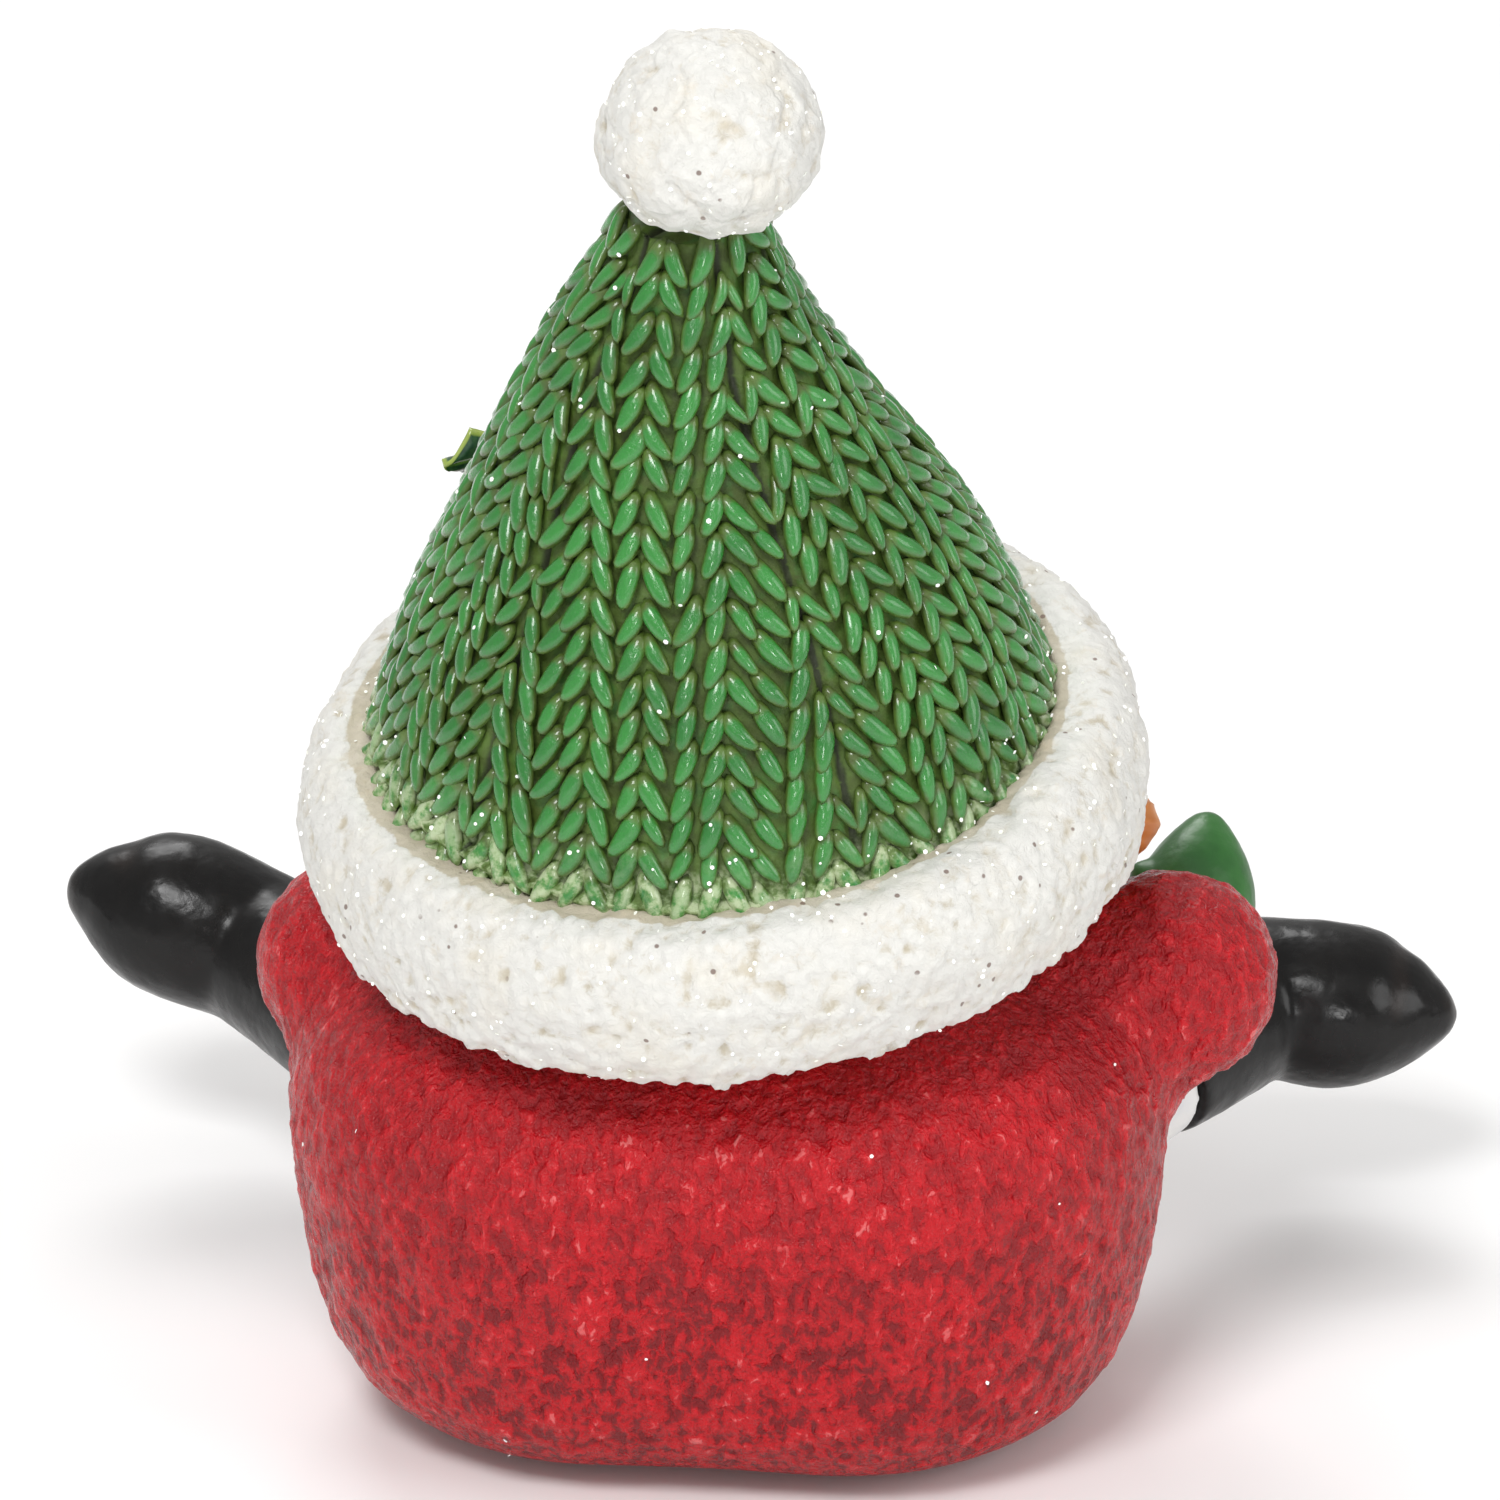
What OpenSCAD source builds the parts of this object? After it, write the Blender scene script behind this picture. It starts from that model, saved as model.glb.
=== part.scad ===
// Seated gnome figurine: bulbous red coat, knitted green hat with a fur brim and a
// pompom, mittens, white legs and black boots turned outwards.
// Millimetres, +Z up. The figure faces -Y, so its own left is +X.
// The origin is the centre of the pad's underside, on the table.

/* [Body] */
// Half width of the coat at its widest
body_r = 43; // [36:0.5:48]
// Half depth of the coat at its deepest
body_d = 31.5; // [28:0.5:36]
// Height of the coat's flat top, under the hat
body_top = 50; // [46:0.5:54]
// Half width of the flat the coat stands on
base_w = 27; // [22:0.5:32]
// Thickness of the pad under the coat
pad_t = 1.2; // [0.6:0.1:3]

/* [Hat] */
// Height of the hat's base circle above the table
hat_z = 74; // [68:0.5:80]
// How far the base circle lies behind the body's axis
hat_y = 2; // [-4:0.5:8]
// Lean of the hat towards the back
hat_tilt = 14; // [0:1:20]
// How far the brim is shifted towards the figure's left
brim_x = 1; // [-3:0.1:3]
// Dip of the brim towards the figure's left
brim_roll = 4; // [-6:0.5:6]
// Lean of the knitted cone towards the figure's left
cone_roll = 1; // [-3:0.5:3]
// Radius of the knitted cone where the fur begins
hat_r = 33.4; // [31:0.1:36]
// Height of the knitted cone above the fur
hat_h = 58; // [50:0.5:66]
// Outer radius of the fur brim
brim_r = 41; // [38:0.5:45]
// Height of the fur brim
brim_h = 16; // [12:0.5:20]
// Radius of the pompom
pompom_r = 10.5; // [8:0.1:14]
// Sideways offset of the pompom on the cone, towards the figure's right
pompom_x = 2.2; // [-3:0.1:3]

/* [Face] */
// Radius of the nose
nose_r = 6.5; // [4:0.5:9]
// Half width of the beard
beard_w = 40.5; // [34:0.5:42]
// Radius of the beard's full front
beard_r = 25; // [20:0.5:28]
// Height of the beard's middle
beard_z = 42; // [38:0.5:46]

/* [Arms] */
// Radius of the sleeve at the elbow
sleeve_r = 10.6; // [8:0.1:12]
// Distance of the right elbow from the middle
elbow_x = 42.5; // [38:0.5:47]
// Radius of the cuff at the wrist
cuff_r = 6.8; // [5.5:0.1:7.5]
// How much closer to the middle the left elbow is
left_tuck = 5.5; // [0:0.5:8]

/* [Legs] */
// Radius of the leg
leg_r = 6.6; // [6:0.1:9]
// Distance of the right ankle from the middle
ankle_x = 49; // [42:0.5:54]
// Distance of the ankles in front of the body's axis
ankle_y = 53; // [46:0.5:60]
// Height of the right ankle
ankle_z = 22.5; // [12:0.5:24]
// How much farther out the left ankle is
left_splay = 6; // [0:0.5:8]
// How much higher the left ankle is
left_lift = 1; // [0:0.5:5]
// Length of the foot beyond the ankle
foot_len = 19.5; // [16:0.5:26]
// Half width of the foot
foot_r = 8.6; // [7:0.1:10]

/* [Hidden] */
$fn = 64;
// the coat's two turning axes stand this far from the middle
stretch = body_r - body_d;
// glue line between two castings
glue = 0.15;
// the head's radius and the clearance of the cap over it
head_r = 28.6;
cap_gap = 0.2;
// lower edge of the cap's skirt, below the base circle
skirt_h = 12;
// where the nose sits
nose_at = [0, -33.5, 60];
// part of the leg's length that the stocking covers
bare_part = 0.57;
// larger than the whole figure
big = 200;

// ---- curves ----

// a point of a smooth curve through the points p, at u from point i to the next
function curve_at(p, i, u) =
  let (n = len(p) - 1, a = p[max(i - 1, 0)], b = p[i], c = p[i + 1],
       d = p[min(i + 2, n)])
  0.5 * (2 * b + (c - a) * u + (2 * a - 5 * b + 4 * c - d) * u * u
         + (3 * b - a - 3 * c + d) * u * u * u);

// the smooth curve through p with k points to each span
function curve(p, k = 4) =
  [for (i = [0 : len(p) - 2]) for (j = [0 : k - 1]) curve_at(p, i, j / k),
   p[len(p) - 1]];

// ---- shared shapes ----

module mirrored(left) {
  if (left) {
    children();
  } else {
    mirror([1, 0, 0])
      children();
  }
}

// moves +Z of its children to the direction d from the point a
module aim(a, d) {
  translate(a)
    rotate([0, acos(d[2] / norm(d)), atan2(d[1], d[0])])
      children();
}

// a round bar from a to b with an end radius at each
module bar(a, b, ra, rb) {
  aim(a, b - a)
    cylinder(h = norm(b - a), r1 = ra, r2 = rb);
}

// a plump finger shape of radius r and length l along +Z, round at both ends, with k
// steps to each span of its outline
module plump(r, l, k = 4) {
  rotate_extrude()
    polygon(curve([[0, 0], [r * 0.68, r * 0.25], [r, r * 0.95], [r * 0.93, l * 0.6],
                   [r * 0.7, l * 0.82], [r * 0.36, l * 0.96], [0, l]], k));
}

// profile of the coat from the flat base to the flat top, grown by g
function coat_side(g) =
  [[base_w - stretch + g, pad_t - g], [body_d - 10 + g, pad_t + 1 - g],
   [body_d - 6 + g, pad_t + 4.4 - g], [body_d - 3.4 + g, 10.5],
   [body_d - 1.5 + g, 17.5], [body_d - 0.4 + g, 25], [body_d + g, 33],
   [body_d - 2 + g, 40], [body_d - 7 + g, body_top - 4.5 + g],
   [body_d - 14 + g, body_top - 1.2 + g], [8, body_top + g]];

// an oblong solid: the outline p, from the foot of the axis to its top, turned about
// two axes that stand apart along X, with a straight length between them
module oblong(p) {
  for (s = [0, 180])
    rotate([0, 0, s])
      translate([stretch, 0, 0])
        rotate([0, 0, -90])
          rotate_extrude(angle = 180)
            polygon(p);
  rotate([90, 0, 90])
    translate([0, 0, -stretch])
      linear_extrude(2 * stretch)
        polygon(concat(p, [for (i = [len(p) - 1 : -1 : 0]) [-p[i][0], p[i][1]]]));
}

module coat_shape(g = 0) {
  oblong(concat([[0, pad_t - g]], curve(coat_side(g), 3), [[0, body_top + g]]));
}

module in_hat(roll) {
  translate([brim_x, hat_y, hat_z])
    rotate([-hat_tilt, roll, 0])
      children();
}

// ---- the coat and what it stands on ----

module body_casting() color([0.72, 0.13, 0.17]) {
  coat_shape();
}

module base_pad() color([0.13, 0.28, 0.16]) {
  r = base_w - stretch - 1.5;
  oblong([[0, 0], [r, 0], [r, pad_t - 0.05], [0, pad_t - 0.05]]);
}

// ---- head and hat ----

module head_shape(g = 0) {
  difference() {
    in_hat(brim_roll) {
      sphere(r = head_r + g);
      rotate_extrude()
        polygon(concat([[0, 0]], [[head_r + g, 0]], curve([[head_r + g, -14],
          [head_r - 1 + g, -18], [head_r - 4 + g, -22], [head_r - 9 + g, -25]]),
          [[0, -25 - g]]));
    }
    translate([0, 0, body_top + glue - big / 2])
      cube(big, center = true);
  }
}

module head() color([0.87, 0.66, 0.52]) {
  head_shape();
}

// everything the hat takes up, for cutting what lies under it
module under_hat() {
  in_hat(brim_roll)
    translate([0, 0, -brim_h - glue])
      cylinder(h = brim_h + 2, r = brim_r + glue);
}

module cone_frame() {
  in_hat(brim_roll)
    rotate([0, cone_roll - brim_roll, 0])
      children();
}

// profile of the knitted cone above the fur
function cone_side() =
  [[hat_r, 0], [hat_r - 2.6, 8], [hat_r - 6.6, 17], [hat_r - 11.9, 27],
   [hat_r - 17.1, 37], [hat_r - 22.3, 47], [hat_r - 25.2, 53],
   [hat_r - 26.8, hat_h]];

module hat_cone() color([0.25, 0.58, 0.29]) {
  difference() {
    union() {
      in_hat(brim_roll)
        translate([0, 0, -skirt_h])
          cylinder(h = skirt_h + 0.5, r = hat_r - 1);
      cone_frame()
        rotate_extrude()
          polygon(concat([[0, -1]], [[hat_r - 1.2, -1]], curve(cone_side()),
                         [[0, hat_h]]));
    }
    in_hat(brim_roll) {
      sphere(r = head_r + cap_gap);
      translate([0, 0, -skirt_h - 1])
        cylinder(h = skirt_h + 1, r = head_r + cap_gap);
    }
  }
}

module hat_brim() color([0.93, 0.91, 0.86]) {
  in_hat(brim_roll)
    rotate_extrude()
      polygon(concat([[hat_r - 0.8, 3 - brim_h]], curve([[hat_r, 2.2 - brim_h],
        [hat_r + 3.6, -brim_h], [brim_r - 1, 1.6 - brim_h], [brim_r, 7 - brim_h],
        [brim_r - 1, -4.5], [hat_r + 3.8, -1], [hat_r, -0.8]]),
        [[hat_r - 0.8, -0.8]]));
}

module pompom() color([0.93, 0.91, 0.86]) {
  cone_frame()
    difference() {
      translate([-pompom_x, 0, hat_h + pompom_r - 3.8])
        sphere(r = pompom_r);
      cylinder(h = hat_h + glue, r = 2 * pompom_r);
    }
}

// ---- holly sprig on the front left of the cone ----

// bearing of the sprig round the cone, from +X
sprig_at = -69;
// length, width and thickness of a leaf
leaf_l = 14;
leaf_w = 8.4;
leaf_t = 1.4;
berry_r = 2.3;

// stands children on the cone at a bearing and a height, +Z outwards, -X up the slope
module on_cone(bearing, t, lift) {
  slope = atan(0.42);
  cone_frame()
    rotate([0, 0, bearing])
      translate([hat_r - 0.25 * t + lift, 0, t])
        rotate([0, 90 - slope, 0])
          children();
}

module leaf_outline() {
  difference() {
    translate([leaf_l / 2, 0])
      intersection_for (s = [-1, 1])
        translate([0, s * (leaf_l - leaf_w) * 0.78])
          circle(r = leaf_l * 0.72);
    for (s = [-1, 1], x = [0.22, 0.5, 0.78])
      translate([x * leaf_l, s * leaf_w * 0.62])
        circle(r = leaf_l * 0.11);
  }
}

module holly_leaf(bearing, t, turn) color([0.24, 0.45, 0.2]) {
  on_cone(bearing, t, 1.8)
    rotate([0, 0, turn])
      translate([2.6, 0, 0])
        linear_extrude(leaf_t)
          leaf_outline();
}

module holly_berry(bearing, t) color([0.75, 0.1, 0.12]) {
  on_cone(bearing, t, 6)
    sphere(r = berry_r);
}

module holly_leaf_upper() holly_leaf(sprig_at, 10, 100);

module holly_leaf_lower() holly_leaf(sprig_at, 10, 25);

module holly_leaf_front() holly_leaf(sprig_at, 10, 240);

module holly_berry_upper() holly_berry(sprig_at, 13);

module holly_berry_lower() holly_berry(sprig_at + 5, 8.2);

module holly_berry_front() holly_berry(sprig_at - 5, 8.2);

// ---- face ----

module nose_shape(g = 0) {
  translate(nose_at)
    sphere(r = nose_r + g);
}

module nose() color([0.86, 0.58, 0.46]) {
  difference() {
    nose_shape();
    head_shape(glue);
  }
}

module beard_front(g = 0) {
  translate([0, -15, beard_z])
    sphere(r = beard_r + g);
}

module beard() color([0.75, 0.42, 0.2]) {
  difference() {
    beard_front();
    translate([0, big / 2 - 15, 0])
      cube(big, center = true);
    coat_shape(glue);
    head_shape(glue);
    nose_shape(glue);
    under_hat();
    fur_collar_shape(glue);
  }
}

module side_whiskers(left) color([0.75, 0.42, 0.2]) {
  root = [14, -21, 58];
  tip = [beard_w, -11, 58];
  difference() {
    mirrored(left)
      aim(root, tip - root)
        plump(7, norm(tip - root));
    beard_front(glue);
    head_shape(glue);
    under_hat();
    fur_collar_shape(glue);
  }
}

module side_whiskers_left() side_whiskers(true);

module side_whiskers_right() side_whiskers(false);

module moustache_half(left) color([0.8, 0.47, 0.23]) {
  root = [0.8, -39.9, 52];
  tip = [18, -33.5, 47.5];
  mirrored(left) {
    difference() {
      aim(root, tip - root)
        plump(3.6, norm(tip - root), 2);
      beard_front(glue);
    }
  }
}

module moustache_left() moustache_half(true);

module moustache_right() moustache_half(false);

module fur_collar_shape(g = 0) {
  translate([0, -3, body_top + glue])
    rotate_extrude()
      polygon([[0, -g], [27 + g, -g], [28.5 + g, 3], [27 + g, 6 + g], [0, 6 + g]]);
}

module fur_collar() color([0.93, 0.91, 0.86]) {
  difference() {
    fur_collar_shape();
    head_shape(glue);
    under_hat();
  }
}

// ---- arms ----

function elbow(left) = [elbow_x - (left ? left_tuck : 0), -8, left ? 41.5 : 43.4];
function wrist(left) = elbow(left) + [left ? -0.6 : 0.3, -12, left ? -0.5 : -1.9];
function hand_dir(left) = left ? [-0.1, -0.85, 0.52] : [0.13, -0.57, 0.81];

module arm(left) color([0.74, 0.14, 0.18]) {
  difference() {
    mirrored(left) {
      translate(elbow(left))
        sphere(r = sleeve_r);
      bar(elbow(left), [26, -2, 41], sleeve_r - 0.3, sleeve_r - 1);
      bar(elbow(left), wrist(left), sleeve_r - 0.4, cuff_r + 0.4);
    }
    coat_shape(glue);
    under_hat();
    fur_collar_shape(glue);
  }
}

module cuff(left) color([0.93, 0.91, 0.86]) {
  e = elbow(left);
  w = wrist(left);
  d = (w - e) / norm(w - e);
  mirrored(left)
    bar(w + d * glue, w + d * 4, cuff_r, cuff_r - 0.4);
}

module mitten(left) color([0.2, 0.42, 0.18]) {
  e = elbow(left);
  w = wrist(left);
  d = (w - e) / norm(w - e);
  a = w + d * 8.5;
  mirrored(left)
    difference() {
      union() {
        aim(a - hand_dir(left) * 6, hand_dir(left))
          plump(6.2, 19.5, 2);
        aim(a + [0, 1, 0], hand_dir(left) + [-0.9, 0.25, 0.1])
          plump(2.8, 9, 1);
      }
      bar(w - d * 6, w + d * (4 + glue), 12, 12);
    }
}

module arm_left() arm(true);

module arm_right() arm(false);

module cuff_left() cuff(true);

module cuff_right() cuff(false);

module mitten_left() mitten(true);

module mitten_right() mitten(false);

// ---- legs ----

hip = [25, -18, 17];
function ankle(left) =
  [ankle_x + (left ? left_splay : 0), -ankle_y, ankle_z + (left ? left_lift : 0)];
function knee(left) = hip + (ankle(left) - hip) * bare_part;

module leg(left) color([0.88, 0.88, 0.86]) {
  mirrored(left)
    difference() {
      bar(hip, knee(left), leg_r + 0.6, leg_r);
      coat_shape(glue);
    }
}

// profile of the foot along its length, from the heel to the toe
function foot_side() =
  [[0, -foot_r], [foot_r * 0.55, 0.6 - foot_r], [foot_r * 0.9, -3.5],
   [foot_r * 0.97, 1.5], [foot_r, foot_len * 0.35], [foot_r * 0.92, foot_len * 0.58],
   [foot_r * 0.7, foot_len * 0.78], [foot_r * 0.4, foot_len * 0.92],
   [foot_r * 0.16, foot_len * 0.985], [0, foot_len]];

module boot(left) color([0.1, 0.1, 0.11]) {
  a = ankle(left);
  k = knee(left);
  d = (a - k) / norm(a - k);
  mirrored(left)
    difference() {
      union() {
        bar(k + d * glue, a, leg_r + 0.7, foot_r - 0.4);
        translate(a)
          rotate([0, left ? 70 : 94, 0])
            rotate_extrude()
              polygon(curve(foot_side()));
      }
      translate([0, -ankle_y - 0.85 * foot_r - big / 2, 0])
        cube(big, center = true);
    }
}

module leg_left() leg(true);

module leg_right() leg(false);

module boot_left() boot(true);

module boot_right() boot(false);

// ---- one line per node ----

body_casting();
base_pad();
fur_collar();
head();
nose();
beard();
side_whiskers_left();
side_whiskers_right();
moustache_left();
moustache_right();
hat_cone();
hat_brim();
pompom();
holly_leaf_upper();
holly_leaf_lower();
holly_leaf_front();
holly_berry_upper();
holly_berry_lower();
holly_berry_front();
arm_left();
arm_right();
cuff_left();
cuff_right();
mitten_left();
mitten_right();
leg_left();
leg_right();
boot_left();
boot_right();
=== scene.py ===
"""Looks of the seated gnome figurine: a painted, varnished and glittered cast, built
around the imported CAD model. Lengths are millimetres until a mesh is written, and
metres in Blender. The figure faces -Y; its back, with the knitted hat, faces +Y."""

import itertools
import math

import bmesh
import bpy
import numpy as np
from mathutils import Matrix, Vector
from mathutils.bvhtree import BVHTree


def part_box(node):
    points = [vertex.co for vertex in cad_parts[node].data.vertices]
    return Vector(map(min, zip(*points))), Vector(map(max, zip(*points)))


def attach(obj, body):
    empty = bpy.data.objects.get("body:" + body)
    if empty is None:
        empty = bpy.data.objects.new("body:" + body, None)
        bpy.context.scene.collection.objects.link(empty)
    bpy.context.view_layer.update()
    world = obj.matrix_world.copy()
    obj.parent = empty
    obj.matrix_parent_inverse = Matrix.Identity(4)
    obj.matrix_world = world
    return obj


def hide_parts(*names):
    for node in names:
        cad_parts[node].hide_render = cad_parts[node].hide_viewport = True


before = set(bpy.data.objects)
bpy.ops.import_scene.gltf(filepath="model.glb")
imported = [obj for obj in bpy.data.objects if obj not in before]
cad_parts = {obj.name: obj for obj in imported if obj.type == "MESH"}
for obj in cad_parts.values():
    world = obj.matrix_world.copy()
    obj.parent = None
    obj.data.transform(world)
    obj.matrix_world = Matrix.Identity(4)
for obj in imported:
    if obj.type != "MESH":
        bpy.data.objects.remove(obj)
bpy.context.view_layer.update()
MM = 0.001
SCENE = bpy.context.scene
CREASE_ROUNDS = 60
CREASE_WEIGHT = 0.9

# the hat's own frames, as the CAD model has them
HAT_BASE = np.array([1.0, 2.0, 74.0])
HAT_TILT = 14.0
BRIM_ROLL = 4.0
CONE_ROLL = 1.0
CONE_BOW = 1.25  # the painted cone only: the CAD cone is straight

# ---------------------------------------------------------------- camera and light

VIEW_AZIMUTH = 186.0
VIEW_ELEVATION = 22.0
VIEW_DISTANCE = 1.0
VIEW_LENS = 249.6
VIEW_AIM = Vector((-0.0023, 0.0019, 0.0697))
LIGHT_AIM = Vector((0, 0, 0.06))
SENSOR_WIDTH = 36
WORLD_STRENGTH = 0.5

# name, azimuth, elevation, distance in metres, size in metres, power in watts
SOFTBOXES = [
    ("key", 165, 50, 1.1, (0.4, 0.3), 6.2),
    ("fill", 250, 25, 1.2, (0.6, 0.6), 3.0),
    ("front", 20, 45, 1.2, (0.6, 0.5), 5.0),
    ("glint", 196, 14, 1.6, (0.22, 0.22), 2.8),
]


def away(azimuth, elevation):
    """The direction from the object to a viewer at that azimuth and elevation."""
    a, e = math.radians(azimuth), math.radians(elevation)
    return Vector((math.sin(a) * math.cos(e), -math.cos(a) * math.cos(e), math.sin(e)))


def make_camera():
    data = bpy.data.cameras.new("camera")
    data.lens = VIEW_LENS
    data.sensor_width = SENSOR_WIDTH
    data.clip_start, data.clip_end = 0.01, 20
    camera = bpy.data.objects.new("camera", data)
    SCENE.collection.objects.link(camera)
    back = away(VIEW_AZIMUTH, VIEW_ELEVATION)
    camera.location = VIEW_AIM + back * VIEW_DISTANCE
    camera.rotation_mode = "QUATERNION"
    camera.rotation_quaternion = (-back).to_track_quat("-Z", "Y")
    SCENE.camera = camera


def softbox(name, azimuth, elevation, distance, size, power):
    data = bpy.data.lights.new(name, "AREA")
    data.shape = "RECTANGLE"
    data.size, data.size_y = size
    data.energy = power
    lamp = bpy.data.objects.new(name, data)
    SCENE.collection.objects.link(lamp)
    direction = away(azimuth, elevation)
    lamp.location = LIGHT_AIM + direction * distance
    lamp.rotation_mode = "QUATERNION"
    lamp.rotation_quaternion = (-direction).to_track_quat("-Z", "Y")


def make_lights():
    world = bpy.data.worlds.new("studio")
    world.use_nodes = True
    background = world.node_tree.nodes["Background"]
    background.inputs["Color"].default_value = (1.0, 0.995, 0.985, 1)
    background.inputs["Strength"].default_value = WORLD_STRENGTH
    SCENE.world = world
    for settings in SOFTBOXES:
        softbox(*settings)
    SCENE.view_settings.view_transform = "Standard"
    SCENE.view_settings.look = "None"


# ---------------------------------------------------------------- noise


def hashed(cell, seed):
    """A repeatable number from 0 to 1 for each whole-numbered cell."""
    x, y, z = (cell[:, i].astype(np.int64) for i in range(3))
    h = (x * 73856093) ^ (y * 19349663) ^ (z * 83492791) ^ (seed * 2654435761)
    h = (h ^ (h >> 13)) * 1274126177
    h = h ^ (h >> 16)
    return (h & 0xFFFFFF) / float(0x1000000)


def soft_noise(p, size, seed=0):
    """Smooth noise from -1 to 1, with lumps about size across."""
    q = p / size
    base = np.floor(q)
    f = q - base
    f = f * f * (3 - 2 * f)
    total = np.zeros(len(p))
    for corner in itertools.product((0, 1), repeat=3):
        weight = np.ones(len(p))
        for axis, side in enumerate(corner):
            weight = weight * (f[:, axis] if side else 1 - f[:, axis])
        total += weight * hashed(base + np.array(corner), seed)
    return 2 * total - 1


def rough_noise(p, size, seed=0, octaves=3):
    total, height = np.zeros(len(p)), 1.0
    for k in range(octaves):
        total += height * soft_noise(p + 17.3 * k, size / 2**k, seed + k)
        height *= 0.5
    return total / 1.6


def folds(p, size, seed):
    """Noise with narrow ridges, from -1 to 1."""
    return 1 - 2 * np.abs(soft_noise(p, size, seed))


def warped(p, amount, size, seeds):
    """The points moved a little by smooth noise, with one seed for each direction."""
    return p + amount * np.stack([soft_noise(p, size, k) for k in seeds], 1)


def cells(p, size, seed=0):
    """How far each point is from the nearest and the second nearest of points that are
    scattered about size apart, in units of size, and a number for the nearest one."""
    q = p / size
    base = np.floor(q)
    first, second = np.full(len(p), 9.0), np.full(len(p), 9.0)
    mark = np.zeros(len(p))
    for corner in itertools.product((-1, 0, 1), repeat=3):
        c = base + np.array(corner)
        spot = c + np.stack([hashed(c, seed + k) for k in range(3)], 1)
        d = np.linalg.norm(q - spot, axis=1)
        nearer = d < first
        second = np.where(nearer, first, np.minimum(second, d))
        mark = np.where(nearer, hashed(c, seed + 5), mark)
        first = np.where(nearer, d, first)
    return first, second, mark


def step(value, low, high):
    t = np.clip((value - low) / (high - low), 0, 1)
    return t * t * (3 - 2 * t)


# ---------------------------------------------------------------- meshes


def coordinates(mesh):
    co = np.empty(len(mesh.vertices) * 3, np.float32)
    mesh.vertices.foreach_get("co", co)
    return co.reshape(-1, 3).astype(float) / MM


def normals(mesh):
    n = np.empty(len(mesh.vertices) * 3, np.float32)
    mesh.vertex_normals.foreach_get("vector", n)
    return n.reshape(-1, 3).astype(float)


def put_coordinates(mesh, p):
    mesh.vertices.foreach_set("co", (p * MM).astype(np.float32).ravel())
    mesh.update()


def put_value(mesh, name, values):
    layer = mesh.attributes.new(name, "FLOAT", "POINT")
    layer.data.foreach_set("value", np.asarray(values, np.float32))


def smoothed(mesh, p, rounds, weight=0.5):
    """The points p moved towards their neighbours, rounds times."""
    ends = np.empty(len(mesh.edges) * 2, np.int32)
    mesh.edges.foreach_get("vertices", ends)
    a, b = ends[0::2], ends[1::2]
    count = np.bincount(a, minlength=len(p)) + np.bincount(b, minlength=len(p))
    for _ in range(rounds):
        total = np.empty_like(p)
        for axis in range(3):
            total[:, axis] = np.bincount(a, p[b, axis], len(p))
            total[:, axis] += np.bincount(b, p[a, axis], len(p))
        p = p + weight * (total / count[:, None] - p)
    return p


def evenly(mesh, voxel):
    """The same solid as an even mesh with faces about voxel across."""
    maker = bpy.data.objects.new("maker", mesh)
    SCENE.collection.objects.link(maker)
    remesh = maker.modifiers.new("even", "REMESH")
    remesh.mode = "VOXEL"
    remesh.voxel_size = voxel * MM
    graph = bpy.context.evaluated_depsgraph_get()
    made = bpy.data.meshes.new_from_object(maker.evaluated_get(graph))
    bpy.data.objects.remove(maker)
    made.materials.clear()
    return made


def fine_copy(node, name, voxel, rounds):
    """An even, fine mesh of a CAD node, with its facets smoothed away."""
    mesh = evenly(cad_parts[node].data.copy(), voxel)
    mesh.name = name
    put_coordinates(mesh, smoothed(mesh, coordinates(mesh), rounds))
    piece = bpy.data.objects.new(name, mesh)
    SCENE.collection.objects.link(piece)
    return piece


def largest_part(mesh):
    """True for each vertex of the mesh's largest connected part."""
    ends = np.empty(len(mesh.edges) * 2, np.int32)
    mesh.edges.foreach_get("vertices", ends)
    a, b = ends[0::2], ends[1::2]
    label = np.arange(len(mesh.vertices))
    while True:
        low = np.minimum(label[a], label[b])
        before = label.copy()
        np.minimum.at(label, a, low)
        np.minimum.at(label, b, low)
        label = label[label]
        if (label == before).all():
            return label == np.bincount(label).argmax()


def blended_copy(nodes, name, voxel, swell, rounds, reach):
    """One fine mesh of several CAD nodes of one casting: they are swollen until they
    meet, joined, and the creases between them are filled in over the reach."""
    body = bmesh.new()
    for node in nodes:
        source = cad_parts[node].data
        start = len(body.verts)
        body.from_mesh(source)
        body.verts.ensure_lookup_table()
        for vertex, normal in zip(body.verts[start:], normals(source)):
            vertex.co += Vector(normal) * (swell * MM)
    mesh = bpy.data.meshes.new(name)
    body.to_mesh(mesh)
    body.free()
    mesh = evenly(mesh, voxel)
    keep = largest_part(mesh)
    if not keep.all():
        trim = bmesh.new()
        trim.from_mesh(mesh)
        loose = [v for v, kept in zip(trim.verts, keep) if not kept]
        bmesh.ops.delete(trim, geom=loose, context="VERTS")
        trim.to_mesh(mesh)
        trim.free()
    p = smoothed(mesh, coordinates(mesh), rounds)
    trees = [BVHTree.FromPolygons([v.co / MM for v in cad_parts[n].data.vertices],
                                  [f.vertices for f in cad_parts[n].data.polygons])
             for n in nodes]
    far = np.array([sorted(t.find_nearest(Vector(q))[3] for t in trees)[1] for q in p])
    share = step(far, reach, 0.4 * reach)[:, None]
    for _ in range(CREASE_ROUNDS):
        p = p + share * (smoothed(mesh, p, 1, CREASE_WEIGHT) - p)
    put_coordinates(mesh, p)
    put_coordinates(mesh, p - swell * (1 - share) * normals(mesh))
    piece = bpy.data.objects.new(name, mesh)
    SCENE.collection.objects.link(piece)
    return piece


def mesh_piece(name, points, faces, values=()):
    mesh = bpy.data.meshes.new(name)
    mesh.from_pydata((points * MM).tolist(), [], faces)
    for label, numbers in values:
        put_value(mesh, label, numbers)
    mesh.update()
    piece = bpy.data.objects.new(name, mesh)
    SCENE.collection.objects.link(piece)
    return piece


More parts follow.
